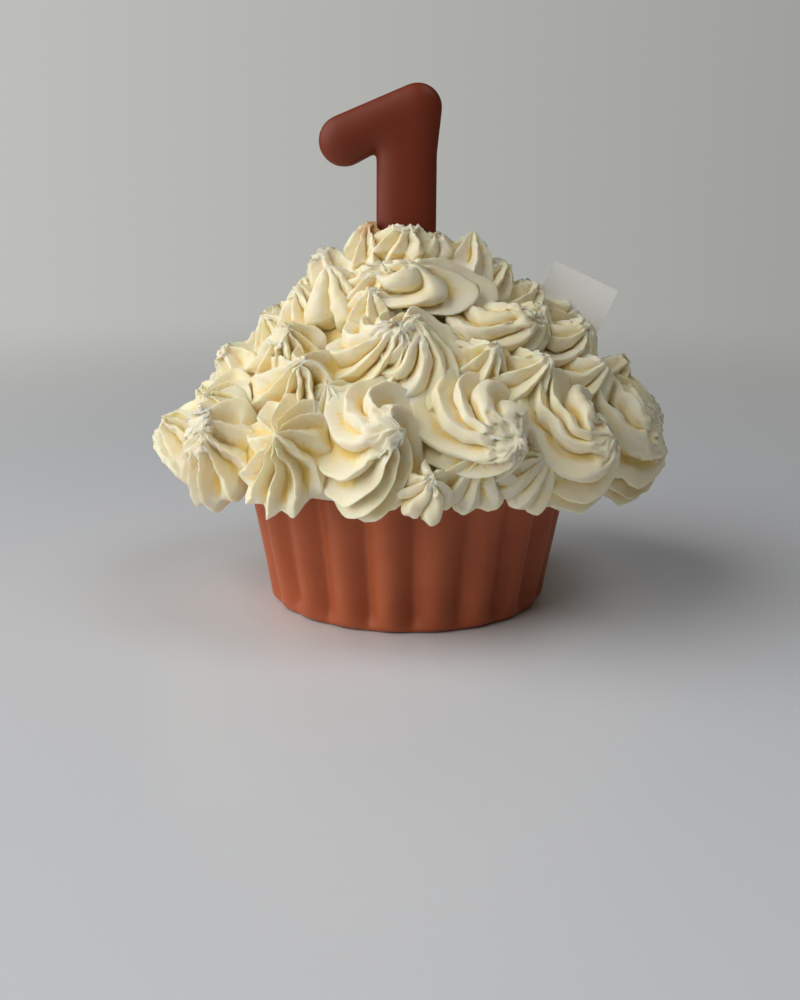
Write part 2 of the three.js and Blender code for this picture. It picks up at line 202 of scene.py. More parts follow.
# Middle and spread of what changes from one dollop of a ring to the next
BACK_TURN = (0.0, 3.0)
BACK_LIFT = (0.0, 2.5)
BACK_WIDTH = (1.0, 0.08)
BACK_LENGTH = (1.08, 0.1)
BACK_TWIST = (70.0, 55.0)
BACK_APEX_RIGHT = (0.0, 5.0)
BACK_APEX_UP = (0.0, 3.0)
BACK_RIBS = (9.0, 1.0)
BACK_CREST = (0.45, 0.45)
BACK_TEAR = (0.5, 0.45)
# Small dollops in the gaps between larger ones at the left side: tier and row
FILLERS = [
    ("skirt", (-97, 90, 14, 13, 13, 25, 0, 3, 8, 0.8, 0.5)),
    ("third", (-87, 122, 17, 13, 13, 25, 1, 3, 9, 0.7, 0.4)),
]


def wobble(index, salt):
    """A seeded value between -1 and 1."""
    value = math.sin(index * 12.9898 + salt * 78.233) * 43758.5453
    return 2.0 * (value - math.floor(value)) - 1.0


def vary(middle_and_spread, seed, salt):
    """A seeded value round a middle, at most the spread away from it."""
    middle, spread = middle_and_spread
    return middle + spread * wobble(seed, salt)


def smooth_step(x):
    """Eases from 0 to 1."""
    x = min(max(x, 0.0), 1.0)
    return x * x * (3 - 2 * x)


def ripple(angle, swings):
    """A sum of waves round a circle: each swing is how many, how large, and where it starts."""
    return sum(size * np.sin(count * angle + start) for count, size, start in swings)


def seeded_swings(drift, index):
    """Gives each wave of a drift its seeded start."""
    return [(count, size, math.pi * wobble(index, salt)) for count, size, salt in drift]


def centre_radius(z, azimuth):
    """Radius of the circle of dollop centres: a dome that is fuller at the right."""
    rise = min(max((z - WAIST_Z) / RISE, 0.0), 1.0)
    fuller = np.maximum(np.sin(np.radians(azimuth)), 0.0) * math.exp(-(((z - SWELL_Z) / SWELL_WIDTH) ** 2))
    return WAIST_RADIUS * (1.0 - rise**CURVE) + SWELL * fuller


def axis_tilt(z):
    """Degrees that a dollop at this height points above the horizon."""
    share = (min(max(z, LOW_Z), HIGH_Z) - LOW_Z) / (HIGH_Z - LOW_Z)
    return LOW_TILT + share * (HIGH_TILT - LOW_TILT)


def waves(points, scale, seed, count=7):
    """A smooth, seeded field between about -1 and 1 that varies over `scale` millimetres."""
    total = np.zeros(len(points))
    for k in range(count):
        a = math.pi * wobble(seed + k, 31)
        b = math.asin(wobble(seed + k, 32))
        direction = np.array([math.cos(a) * math.cos(b), math.sin(a) * math.cos(b), math.sin(b)])
        length = scale * vary(WAVE_LENGTH, seed + k, 33)
        total += np.sin(points @ direction * (2 * math.pi / length) + math.pi * wobble(seed + k, 34))
    return total / math.sqrt(count)


def rough(points, scale, seed):
    """Crumbly seeded noise, one value for each point."""
    shift = Vector([seed * step for step in NOISE_STEPS])
    return np.array([noise.fractal(Vector(p) / scale + shift, *OCTAVES) for p in points])


def rib_columns(ribs, twist, crest):
    """Angle of each column of points round a dollop, and its rib's height: 1 on a crest, 0 in a valley."""
    x = np.tile(HALF_RIB + HALF_RIB[-2:0:-1], ribs)
    valley_at = 0.5 + RIB_SKEW * min(abs(twist) / FULL_SKEW_TWIST, 1.0)
    falling = np.tile(np.arange(COLUMNS_PER_RIB) <= COLUMNS_PER_RIB // 2, ribs)
    part = np.where(falling, x * valley_at, 1 - x * (1 - valley_at))
    phase = np.repeat(np.arange(ribs), COLUMNS_PER_RIB) + part
    round_rib = np.clip(1 - x**ROUND_POWER, 0, 1) ** ROUND_SHOULDER
    fall = (np.sqrt(x * x + EDGE_SOFTNESS) - EDGE_START) / (math.sqrt(1 + EDGE_SOFTNESS) - EDGE_START)
    sharp_rib = np.clip((1 - fall) ** SHARP_POWER, 0, 1)
    return 2 * math.pi / ribs * phase, round_rib * (1 - crest) + sharp_rib * crest


def dollop_levels(crest):
    """A dollop's rows, from its hidden underside up: share of its half size, share of its reach."""
    bulge = BULGE + ROUND_BULGE * (1 - crest)
    levels = []
    for angle in np.radians(np.linspace(BASE_ANGLE, UNDER_END, UNDER_ROWS)):
        levels.append((math.cos(angle), BASE_SQUASH * math.sin(angle)))
    for share in np.linspace(0.0, TIP_SHARE, ROWS - UNDER_ROWS):
        levels.append(((1 - share**bulge) ** TIP_POWER, share))
    return levels


def tear_tip(flat, centre, directions, reach, tear, index):
    """Cuts the tip of a dollop short, bends it and leaves it crumbly."""
    axis, right, up = directions
    height_out = (flat - centre) @ axis
    near = np.clip((height_out / reach - (TORN_START - TORN_MORE * tear)) / TORN_FADE, 0, 1)
    chosen = np.nonzero(near > 0)[0]
    points = flat[chosen]
    lumps = rough(points, LUMP_SCALE, index + 0.5)
    cut = reach * (1.0 - TEAR_CUT * tear) + LUMP_HEIGHT * lumps
    over = np.maximum(height_out[chosen] - cut, 0)
    bend = vary(BEND, index, 21)
    aside = right * math.cos(bend) + up * math.sin(bend)
    points = points - np.outer(over * BEND_BACK, axis) + np.outer(over * BEND_ASIDE, aside)
    weight = near[chosen] * tear
    for direction, (size, seed) in zip(directions, CRUMBS):
        points = points + np.outer(weight * size * rough(points, CRUMB_SCALE, index + seed), direction)
    flat[chosen] = points


def dollop_grid(row, index):
    """Rows of points of one piped star dollop, and its two poles."""
    azimuth, height, half_width, half_length, reach, twist, apex_right, apex_up, ribs, crest, tear = row
    turn = math.radians(azimuth)
    tilt = math.radians(axis_tilt(height))
    outward = np.array([math.sin(turn), -math.cos(turn), 0.0])
    right = np.array([math.cos(turn), math.sin(turn), 0.0])
    axis = outward * math.cos(tilt) + np.array([0.0, 0.0, math.sin(tilt)])
    up = np.cross(axis, right)
    centre = outward * centre_radius(height, azimuth) + np.array([0.0, 0.0, height])

    around, rib = rib_columns(ribs, twist, crest)
    drift = ripple(around, seeded_swings(RIB_DRIFT, index))
    first_angle = math.pi * wobble(index, 1) + around + 2 * math.pi / ribs * drift
    unevenness = 1 + ripple(around, seeded_swings(VALLEY_DRIFT, index))
    valley = vary(VALLEY_DEPTH, index, 2) * (1 + ROUND_VALLEY * (1 - crest)) * unevenness * (1 - rib)

    levels = dollop_levels(crest)
    low = levels[0][1]
    rows = []
    for size, rise in levels:
        above = max(rise, 0.0)
        swirl = math.radians(twist) * (1 - ((1 - rise) / (1 - low)) ** SWIRL_POWER)
        angle = first_angle + swirl
        worn = min(WORN_GAIN * tear, 1.0) * smooth_step((rise - WORN_START + TEAR_CUT * tear) / WORN_FADE)
        shallow = (SHALLOW_FOOT + SHALLOW_SHARP * crest) * (1 - smooth_step(rise / SHALLOW_FADE))
        radius = size * (1 - (1 - shallow) * (1 - WORN_FLAT * worn) * valley)
        lean = above**LEAN_POWER
        sink = VALLEY_SINK * (1 - rib) * unevenness * math.sin(math.pi * above) ** SINK_POWER
        out = reach * (rise - sink * (1 - worn))
        side = half_width * radius * np.cos(angle) + apex_right * lean
        along = half_length * radius * np.sin(angle) + apex_up * lean
        rows.append(centre + np.outer(side, right) + np.outer(along, up) + np.outer(out, axis))
    grid = np.array(rows)
    tip = centre + right * apex_right + up * apex_up + axis * reach
    root = centre + axis * reach * low
    flat = grid.reshape(-1, 3)

    # every dollop sags and wavers a little
    for component in range(3):
        for size, length, salt in SAGS:
            flat[:, component] += size * waves(flat, length, index * SEEDS_PER_DOLLOP + salt + component)
    if tear > 0:
        tear_tip(flat, centre, (axis, right, up), reach, tear, index)
        tip = flat[-len(around):].mean(axis=0)
    return flat.reshape(grid.shape), root, tip


def grid_faces(rows, columns):
    """Quads between rings of points, with a fan on the first and the last ring."""
    faces = []
    for row in range(rows - 1):
        for k in range(columns):
            after = (k + 1) % columns
            low, high = row * columns, (row + 1) * columns
            faces.append((low + k, low + after, high + after, high + k))
    first, last = rows * columns, rows * columns + 1
    top = (rows - 1) * columns
    for k in range(columns):
        after = (k + 1) % columns
        faces.append((first, after, k))
        faces.append((top + k, top + after, last))
    return faces


def level_ring(radius, angle, z):
    """Points round the vertical axis at one height."""
    return np.stack([radius * np.cos(angle), radius * np.sin(angle), np.full(len(angle), z)], axis=1)


def link_object(name, data):
    """A new object in the scene."""
    holder = bpy.data.objects.new(name, data)
    bpy.context.scene.collection.objects.link(holder)
    return holder


def ring_object(name, grid, first_pole, last_pole):
    """A closed, smooth piece from rings of points in millimetres and its two poles."""
    rows, columns, _ = grid.shape
    points = np.vstack([grid.reshape(-1, 3), first_pole, last_pole])
    mesh = bpy.data.meshes.new(name)
    mesh.from_pydata((points * MM).tolist(), [], grid_faces(rows, columns))
    mesh.validate()
    mesh.shade_smooth()
    return link_object(name, mesh)


def evaluated_mesh(piece):
    """The mesh of an object as its modifiers leave it."""
    depsgraph = bpy.context.evaluated_depsgraph_get()
    return bpy.data.meshes.new_from_object(piece.evaluated_get(depsgraph))


def apply_modifiers(piece):
    """Turns an object's modifiers into its mesh."""
    mesh = evaluated_mesh(piece)
    piece.modifiers.clear()
    piece.data = mesh
    return mesh


def back_rows():
    """The rows of the dollops round the back and in the gaps, by tier, each with its number."""
    rows = {"skirt": [], "second": [], "third": [], "crown": []}
    front = len(SKIRT) + len(SECOND) + len(THIRD) + len(CROWN)
    made = 0
    for (height, first, last, count, half_size, reach), tier in zip(BACK_RINGS, BACK_TIERS):
        for k in range(count):
            seed = BACK_SEED + made
            rows[tier].append((front + made, (
                first + (last - first) * k / (count - 1) + vary(BACK_TURN, seed, 3),
                height + vary(BACK_LIFT, seed, 4),
                half_size * vary(BACK_WIDTH, seed, 5),
                half_size * vary(BACK_LENGTH, seed, 6),
                reach * vary(BACK_WIDTH, seed, 7),
                vary(BACK_TWIST, seed, 8),
                vary(BACK_APEX_RIGHT, seed, 9),
                vary(BACK_APEX_UP, seed, 10),
                round(vary(BACK_RIBS, seed, 11)),
                vary(BACK_CREST, seed, 12),
                vary(BACK_TEAR, seed, 17),
            )))
            made += 1
    for number, (tier, row) in enumerate(FILLERS, front + made):
        rows[tier].append((number, row))
    return rows


def join_solids(name, parts, cutters):
    """One closed skin over overlapping solids, with the cutters taken away."""
    first = parts[0]
    first.name = name
    others = bpy.data.collections.new(name + "_others")
    for part in parts[1:]:
        others.objects.link(part)
    union = first.modifiers.new("join", "BOOLEAN")
    union.operation = "UNION"
    union.solver = "MANIFOLD"
    union.operand_type = "COLLECTION"
    union.collection = others
    for k, cutter in enumerate(cutters):
        cut = first.modifiers.new(f"cut_{k}", "BOOLEAN")
        cut.operation = "DIFFERENCE"
        cut.solver = "MANIFOLD"
        cut.object = cutter
    apply_modifiers(first).shade_smooth()
    for part in parts[1:]:
        bpy.data.objects.remove(part)
    bpy.data.collections.remove(others)
    return first


# ---- shared shader groups ----


def new_group(name, inputs, outputs):
    """An empty shader node group with named inputs (name, kind, default) and outputs (name, kind)."""
    group = bpy.data.node_groups.new(name, "ShaderNodeTree")
    for label, kind, default in inputs:
        socket = group.interface.new_socket(label, in_out="INPUT", socket_type=kind)
        socket.default_value = default
    for label, kind in outputs:
        group.interface.new_socket(label, in_out="OUTPUT", socket_type=kind)
    return group, group.nodes.new("NodeGroupInput"), group.nodes.new("NodeGroupOutput")


def join_inputs(tree, node, values):
    """Joins a node's inputs to the given sockets, or sets them to the given values."""
    for key, value in values.items():
        if isinstance(value, bpy.types.NodeSocket):
            tree.links.new(value, node.inputs[key])
        else:
            node.inputs[key].default_value = value


def add_node(tree, kind, inputs=None, **properties):
    """Adds a node, sets its properties and fills its inputs."""
    node = tree.nodes.new(kind)
    for key, value in properties.items():
        setattr(node, key, value)
    join_inputs(tree, node, inputs or {})
    return node


def add_noise(tree, place, scale, detail, roughness=0.5):
    """The output of a cloudy pattern fixed to the object."""
    inputs = {"Vector": place.outputs["Object"], "Scale": scale, "Detail": detail, "Roughness": roughness}
    return add_node(tree, "ShaderNodeTexNoise", inputs).outputs["Fac"]


def map_range(tree, value, ends, **properties):
    """The output of a node that maps a value from one range to another."""
    return add_node(tree, "ShaderNodeMapRange", {"Value": value, **ends}, **properties).outputs[0]


def mix_colours(tree, share, first, second):
    """The output of a node that goes from the first colour to the second."""
    return add_node(tree, "ShaderNodeMix", {0: share, 6: first, 7: second}, data_type="RGBA").outputs[2]


def mottle_group(name):
    """Soft cloudy change between two colours, with a finer change on top."""
    group, inside, outside = new_group(
        name,
        [
            ("Colour A", "NodeSocketColor", (0.8, 0.8, 0.8, 1)),
            ("Colour B", "NodeSocketColor", (0.5, 0.5, 0.5, 1)),
            ("Scale", "NodeSocketFloat", 40.0),
            ("Balance", "NodeSocketFloat", 0.5),
        ],
        [("Colour", "NodeSocketColor"), ("Mask", "NodeSocketFloat")],
    )
    given = inside.outputs
    place = add_node(group, "ShaderNodeTexCoord")
    clouds = add_noise(group, place, given["Scale"], 5.0, 0.6)
    shifted = add_node(group, "ShaderNodeMath", {0: clouds, 1: given["Balance"]}, operation="SUBTRACT")
    mask = map_range(group, shifted.outputs[0], {"From Min": -0.18, "From Max": 0.18})
    mixed = mix_colours(group, mask, given["Colour A"], given["Colour B"])
    join_inputs(group, outside, {"Colour": mixed, "Mask": mask})
    return group


def grain_group(name):
    """Height of a fine grain over a slower unevenness."""
    group, inside, outside = new_group(
        name,
        [
            ("Fine", "NodeSocketFloat", 2500.0),
            ("Coarse", "NodeSocketFloat", 400.0),
            ("Coarse share", "NodeSocketFloat", 0.5),
        ],
        [("Height", "NodeSocketFloat")],
    )
    given = inside.outputs
    place = add_node(group, "ShaderNodeTexCoord")
    fine = add_noise(group, place, given["Fine"], 2.0)
    coarse = add_noise(group, place, given["Coarse"], 3.0)
    choice = {0: given["Coarse share"], 2: fine, 3: coarse}
    mixed = add_node(group, "ShaderNodeMix", choice, data_type="FLOAT")
    join_inputs(group, outside, {"Height": mixed.outputs[0]})
    return group


def use_group(tree, name, maker, inputs):
    """Places a shared group in a material, made at its first use, and gives its outputs."""
    group = bpy.data.node_groups.get(name) or maker(name)
    node = tree.nodes.new("ShaderNodeGroup")
    node.node_tree = group
    join_inputs(tree, node, inputs)
    return node.outputs


def opaque(colour):
    return (*colour, 1.0)


def new_material(name):
    """A material with a Principled surface, whose other inputs the caller fills."""
    material = bpy.data.materials.new(name)
    material.use_nodes = True
    tree = material.node_tree
    tree.nodes.clear()
    output = tree.nodes.new("ShaderNodeOutputMaterial")
    surface = tree.nodes.new("ShaderNodeBsdfPrincipled")
    tree.links.new(surface.outputs[0], output.inputs["Surface"])
    return material, tree, surface


def add_mottle(tree, first, second, scale, balance):
    """The outputs of the clouds between two colours."""
    inputs = {"Colour A": opaque(first), "Colour B": opaque(second), "Scale": scale, "Balance": balance}
    return use_group(tree, "Cake mottle", mottle_group, inputs)


def add_grain(tree, fine, coarse, coarse_share):
    """The height of a fine grain."""
    inputs = {"Fine": fine, "Coarse": coarse, "Coarse share": coarse_share}
    return use_group(tree, "Cake grain", grain_group, inputs)["Height"]


def add_bump(tree, height, strength, distance):
    """The normal of a surface with a fine relief."""
    inputs = {"Height": height, "Strength": strength, "Distance": distance}
    return add_node(tree, "ShaderNodeBump", inputs).outputs[0]


def cream_material(settings):
    """Whipped cream: soft light inside it, smooth ribs with a painted highlight along the sharp crests,
    painted shade of darker, yellower cream in the folds, and grainy torn tips.
    """
    material, tree, surface = new_material("piped_cream")
    marks = {}
    for name in ("torn", "fold_shade", "stain"):
        marks[name] = add_node(tree, "ShaderNodeAttribute", attribute_name=name).outputs["Fac"]
    # painted highlight: paler cream on the sharp crests, where the mesh is pointiest
    shape = tree.nodes.new("ShaderNodeNewGeometry")
    crest_highlight_ends = {"From Min": 0.51, "From Max": 0.58, "To Max": 0.7}
    crest = map_range(tree, shape.outputs["Pointiness"], crest_highlight_ends)
    colour = add_mottle(tree, settings.colour, settings.yellow, 55.0, 0.56)["Colour"]
    # painted highlight along the crests
    colour = mix_colours(tree, crest, colour, opaque(settings.crest_highlight_colour))
    # painted shade: darker, yellower cream deep in the folds, standing in for light bounced inside them
    colour = mix_colours(tree, marks["fold_shade"], colour, opaque(settings.fold_shade_colour))
    colour = mix_colours(tree, marks["torn"], colour, opaque(settings.torn_colour))
    colour = mix_colours(tree, marks["stain"], colour, opaque(settings.stain_colour))
    grain = add_grain(tree, 1800.0, 500.0, 0.55)
    strength = map_range(tree, marks["torn"], {"To Min": 0.3, "To Max": 0.7})
    height = add_node(tree, "ShaderNodeMath", {0: grain, 1: strength}, operation="MULTIPLY")
    join_inputs(tree, surface, {
        "Base Color": colour,
        "Roughness": map_range(tree, marks["torn"], {"To Min": 0.42, "To Max": 0.8}),
        "Normal": add_bump(tree, height.outputs[0], 0.6, 0.0008),
        "Subsurface Weight": 0.6,
        "Subsurface Radius": (1.0, 0.62, 0.28),
        "Subsurface Scale": 0.003,
        "Specular IOR Level": 0.28,
    })
    return material


def chocolate_material(name, settings, roughness, cloud_scale):
    """Satin reddish brown chocolate with cloudy bloom."""
    material, tree, surface = new_material(name)
    mottle = add_mottle(tree, settings.colour, settings.dark, cloud_scale, 0.5)
    rough_ends = {"To Min": roughness - 0.06, "To Max": roughness + 0.08}
    join_inputs(tree, surface, {
        "Base Color": mottle["Colour"],
        "Roughness": map_range(tree, mottle["Mask"], rough_ends),
        "Normal": add_bump(tree, add_grain(tree, 1200.0, 120.0, 0.8), 0.25, 0.0006),
        "Subsurface Weight": 0.08,
        "Subsurface Radius": (1.0, 0.4, 0.2),
        "Subsurface Scale": 0.002,
        "Specular IOR Level": 0.28,
    })
    return material


def card_material(settings):
    """Plain white card, a little uneven."""
    material, tree, surface = new_material("card_paper")
    shaded = [channel * 0.96 for channel in settings.colour]
    join_inputs(tree, surface, {
        "Base Color": add_mottle(tree, settings.colour, shaded, 300.0, 0.5)["Colour"],
        "Roughness": 0.55,
        "Normal": add_bump(tree, add_grain(tree, 6000.0, 900.0, 0.3), 0.2, 0.0001),
    })
    return material


# ---- settings ----


def colour_property(label, about, default):
    return bpy.props.FloatVectorProperty(
        name=label, description=about, default=default, subtype="COLOR", size=3
    )


def length_property(label, about, millimetres):
    return bpy.props.FloatProperty(name=label, description=about, default=millimetres * MM, unit="LENGTH")


def angle_property(label, about, degrees):
    return bpy.props.FloatProperty(
        name=label, description=about, default=math.radians(degrees), subtype="ANGLE"
    )


def power_property(label, about, watts):
    return bpy.props.FloatProperty(name=label, description=about, default=watts, unit="POWER")


class CAKE_PG_cup(bpy.types.PropertyGroup):
    height: length_property("Height", "Height of the cup's wall", CUP_TOP)
    base_radius: length_property("Base radius", "Radius of the cup's foot", 64.5)
    rim_radius: length_property("Rim radius", "Radius of the cup at its rim", 75.8)
    flute_depth: length_property("Flute depth", "How deep the flutes are pressed", 5.0)
    flutes: bpy.props.IntProperty(name="Flutes", description="Number of flutes", default=20)
    colour: colour_property("Colour", "Chocolate where it is light", (0.47, 0.118, 0.043))
    dark: colour_property("Dark colour", "Chocolate where it is dark", (0.36, 0.08, 0.029))


class CAKE_PG_cream(bpy.types.PropertyGroup):
    colour: colour_property("Colour", "Cream on the smooth ribs", (0.91, 0.852, 0.672))
    yellow: colour_property("Yellow", "Cream where it is yellower", (0.9, 0.8, 0.49))
    # painted shade, mixed into the cream deep in the folds
    fold_shade_colour: colour_property("Fold colour", "Cream deep in the folds", (0.92, 0.69, 0.22))
    stain_colour: colour_property("Stain", "Cream that the figure's chocolate has tinted", (0.6, 0.36, 0.15))
    torn_colour: colour_property("Torn colour", "Cream on the torn tips", (0.87, 0.81, 0.63))
    # painted highlight, mixed into the cream along the sharp crests
    crest_highlight_colour: colour_property("Crest colour", "Cream along the sharp crests", (0.94, 0.89, 0.72))


class CAKE_PG_number(bpy.types.PropertyGroup):
    depth: length_property("Depth", "Thickness of the figure, front to back", 13.0)
    top: length_property("Top", "Height of the figure's top above the table", 237.2)
    foot: length_property("Foot", "Height of its hidden foot", 146.0)
    colour: colour_property("Colour", "Chocolate where it is light", (0.2, 0.033, 0.012))
    dark: colour_property("Dark colour", "Chocolate where it is dark", (0.175, 0.029, 0.011))


class CAKE_PG_card(bpy.types.PropertyGroup):
    width: length_property("Width", "Width of the card", 33.0)
    height: length_property("Height", "Height of the card", 46.0)
    thickness: length_property("Thickness", "Thickness of the card", 0.8)
    lean: angle_property("Lean", "How far the card leans to the right", 24.0)
    turn: angle_property("Turn", "How far the card turns to the left", -14.0)
    colour: colour_property("Colour", "Card", (0.975, 0.985, 1.0))


class CAKE_PG_stage(bpy.types.PropertyGroup):
    key_power: power_property("Key light", "Power of the large light at the left", 41.0)
    fill_power: power_property("Fill light", "Power of the light above", 7.0)
    floor_colour: colour_property("Floor", "Colour of the floor", (0.755, 0.78, 0.825))
    wall_colour: colour_property("Backdrop", "Colour behind the cake", (0.51, 0.515, 0.487))


# ---- pieces ----


def finish_piece(piece, node, material):
    """Gives a piece its material and body, and hides the solid it stands for."""
    piece.data.materials.clear()
    piece.data.materials.append(material)
    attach(piece, BODY)
    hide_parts(node)


# ---- cup ----

FIRST_RIDGE = -78.3  # degrees from +X
GROOVE_ROUND = 0.04  # how rounded the bottom of a flute's groove is; 0 is a sharp line
FOOT_EDGE = 3.0  # radius of the rounded foot
FOOT_LEVELS = (0.0, 0.12, 0.45, 1.0, 1.7, 2.5, 3.5)
CUP_WALL_START = 5.0
FLUTE_FADE_Z, FLUTE_FADE_POWER = 8.0, 0.6  # the flutes fade out toward the foot
FLUTE_DEPTHS = ((3, 0.12, 1.3), (7, 0.08, 0.4))  # waves in the flutes' depth round the cup
FLUTE_TURNS = ((2, 0.2, 0.7),)  # and in their places
DEPTH_TURN = 1.2
SWAYS = ((5, 0.35, 0.0, 17.0), (11, 0.25, 2.0, -11.0))  # waves, size, start and height per radian
SWAY_SHARE = 0.5
CUP_AROUND, CUP_LEVELS = 432, 26
ROOM_AROUND, ROOM_LEVELS = 144, 6  # the room that the cup takes in the cream
CUP_ROUGHNESS, CUP_CLOUDS = 0.42, 14.0


def cup_points(settings, grow=0.0, around=CUP_AROUND, levels=CUP_LEVELS):
    """Rings of points of the fluted cup, in millimetres, from the foot up."""
    height = settings.height / MM
    base = settings.base_radius / MM
    rim = settings.rim_radius / MM
    depth = settings.flute_depth / MM
    angle = np.arange(around) * 2 * math.pi / around
    uneven = ripple(angle, FLUTE_DEPTHS)
    phase = settings.flutes * (angle - math.radians(FIRST_RIDGE))
    phase = phase + ripple(angle, FLUTE_TURNS) + DEPTH_TURN * uneven
    ridge_share = np.cos(phase / 2) ** 2
    widest = math.sqrt(1 + GROOVE_ROUND)
    groove = (widest - np.sqrt(ridge_share + GROOVE_ROUND)) / (widest - math.sqrt(GROOVE_ROUND))
    rings = []
    for z in [*FOOT_LEVELS, *np.linspace(CUP_WALL_START, height, levels)]:
        drop = max(FOOT_EDGE - z, 0.0) / FOOT_EDGE
        wall = base + (rim - base) * z / height - FOOT_EDGE * (1 - math.sqrt(max(1 - drop * drop, 0.0)))
        fade = min(z / FLUTE_FADE_Z, 1.0) ** FLUTE_FADE_POWER
        sway = ripple(angle, [(count, size, start + z / climb) for count, size, start, climb in SWAYS])
        radius = wall - depth * fade * groove * (1 + uneven) + fade * SWAY_SHARE * sway + grow
        rings.append(level_ring(radius, angle, z))
    return np.array(rings)


class CAKE_OT_cup(bpy.types.Operator):
    """Builds the fluted chocolate cup"""

    bl_idname = "cake.cup"
    bl_label = "Fluted cup"

    def execute(self, context):
        settings = context.scene.cake_cup
        grid = cup_points(settings)
        cup = ring_object("cup_shell", grid, (0.0, 0.0, 0.0), grid[-1].mean(axis=0))
        material = chocolate_material("cup_chocolate", settings, CUP_ROUGHNESS, CUP_CLOUDS)
        finish_piece(cup, "cup", material)
        return {"FINISHED"}


# ---- figure one ----

STEM_LEFT, STEM_RIGHT = -15.1, 12.3
NOTCH_Z = 206.2
CORNER_RADIUS, CORNER_X = 11.0, 3.4
BULB_RADIUS, BULB_PLACE = 11.6, (-29.6, 211.6)
FLAG_NORMAL = 113.6  # direction square to the flag's upper edge, degrees
FLAG_UNDERSIDE = -66.0  # and to its lower edge
ARC_STEPS = 16
FIGURE_ROUND = 6.2
BEVEL_STEPS = 6
FIGURE_CELL = 0.0009  # metres
SMOOTHINGS, SMOOTHING = 10, 0.5
DOME_WIDTH = 12.5  # how far inside its outline the figure reaches its full thickness
DOME_POWER = 2.1
FIGURE_ROUGHNESS, FIGURE_CLOUDS = 0.44, 22.0


def arc(centre, radius, start, end):
    """Points of an arc, with the angles in radians."""
    for k in range(ARC_STEPS + 1):
        a = start + (end - start) * k / ARC_STEPS
        yield (centre[0] + radius * math.cos(a), centre[1] + radius * math.sin(a))


def number_outline(settings):
    """The figure's outline, in millimetres in the plane of the front, counter-clockwise."""
    foot = settings.foot / MM
    corner = (CORNER_X, settings.top / MM - CORNER_RADIUS)
    flag = math.radians(FLAG_NORMAL)
    under = math.radians(FLAG_UNDERSIDE)
    return [
        (STEM_LEFT, foot),
        (STEM_RIGHT, foot),
        (STEM_RIGHT, NOTCH_Z),
        *arc(corner, CORNER_RADIUS, 0.0, flag),
        *arc(BULB_PLACE, BULB_RADIUS, flag, 2 * math.pi + under),
        (STEM_LEFT, NOTCH_Z),
    ]


def dome_figure(mesh, settings):
    """Thins the figure towards its outline, so that its front and back are softly domed."""
    places = vertex_places(mesh)
    outline = np.array(number_outline(settings))
    flat = places[:, [0, 2]]
    inside = np.full(len(flat), DOME_WIDTH)
    for start, end in zip(outline, np.roll(outline, -1, axis=0)):
        side = end - start
        share = np.clip((flat - start) @ side / max(side @ side, 1e-9), 0, 1)
        nearest = start + share[:, None] * side
        inside = np.minimum(inside, np.linalg.norm(flat - nearest, axis=1))
    half = settings.depth / MM / 2 * (1 - (1 - inside / DOME_WIDTH) ** DOME_POWER) ** (1 / DOME_POWER)
    places[:, 1] = np.clip(places[:, 1], -half, half)
    mesh.vertices.foreach_set("co", (places * MM).ravel())
    mesh.update()


def number_object(name, settings, grow):
    """The figure, or with some growth the room that it takes in the cream."""
    outline = number_outline(settings)
    roundness = (FIGURE_ROUND + grow) * MM
    curve = bpy.data.curves.new(name, "CURVE")
    curve.dimensions = "2D"
    curve.fill_mode = "BOTH"
    spline = curve.splines.new("POLY")
    spline.points.add(len(outline) - 1)
    for point, (x, z) in zip(spline.points, outline):
        point.co = (x * MM, z * MM, 0.0, 1.0)
    spline.use_cyclic_u = True
    curve.bevel_depth = roundness
    curve.bevel_resolution = BEVEL_STEPS
    curve.offset = -roundness + grow * MM
    curve.extrude = settings.depth / 2 + grow * MM - roundness
    holder = link_object(name + "_curve", curve)
    mesh = evaluated_mesh(holder)
    bpy.data.objects.remove(holder)
    mesh.transform(Matrix.Rotation(math.pi / 2, 4, "X"))
    piece = link_object(name, mesh)
    remesh = piece.modifiers.new("even", "REMESH")
    remesh.mode = "VOXEL"
    remesh.voxel_size = FIGURE_CELL
    dome_figure(apply_modifiers(piece), settings)
    soften = piece.modifiers.new("soften", "SMOOTH")
    soften.iterations = SMOOTHINGS
    soften.factor = SMOOTHING
    apply_modifiers(piece).shade_smooth()
    return piece


class CAKE_OT_number(bpy.types.Operator):
    """Builds the puffy chocolate figure one"""

    bl_idname = "cake.number"
    bl_label = "Figure one"

    def execute(self, context):
        settings = context.scene.cake_number
        number = number_object("number_figure", settings, 0.0)
        material = chocolate_material("number_chocolate", settings, FIGURE_ROUGHNESS, FIGURE_CLOUDS)
        finish_piece(number, "number_one", material)
        return {"FINISHED"}


# ---- card ----

CARD_TOP_LEFT = (68.3, 14.0, 157.8)


def card_object(name, settings, grow):
    """The card, or with some growth the room that it takes in the cream."""
    width = settings.width / MM
    height = settings.height / MM
    thickness = settings.thickness / MM
    bm = bmesh.new()
    bmesh.ops.create_cube(bm, size=1.0)
    size = (width + 2 * grow, thickness + 2 * grow, height + 2 * grow)
    bmesh.ops.scale(bm, vec=size, verts=bm.verts)
    bmesh.ops.translate(bm, vec=(width / 2, 0, -height / 2), verts=bm.verts)
    bm.transform(Matrix.Rotation(settings.lean, 4, "Y"))
    bm.transform(Matrix.Rotation(settings.turn, 4, "Z"))
    bmesh.ops.translate(bm, vec=CARD_TOP_LEFT, verts=bm.verts)
    bmesh.ops.scale(bm, vec=(MM, MM, MM), verts=bm.verts)
    mesh = bpy.data.meshes.new(name)
    bm.to_mesh(mesh)
    bm.free()
    return link_object(name, mesh)


class CAKE_OT_card(bpy.types.Operator):
    """Builds the blank card"""

    bl_idname = "cake.card"
    bl_label = "Blank card"

    def execute(self, context):
        settings = context.scene.cake_card
        card = card_object("blank_card", settings, 0.0)
        finish_piece(card, "tag_card", card_material(settings))
        return {"FINISHED"}


# ---- cream ----


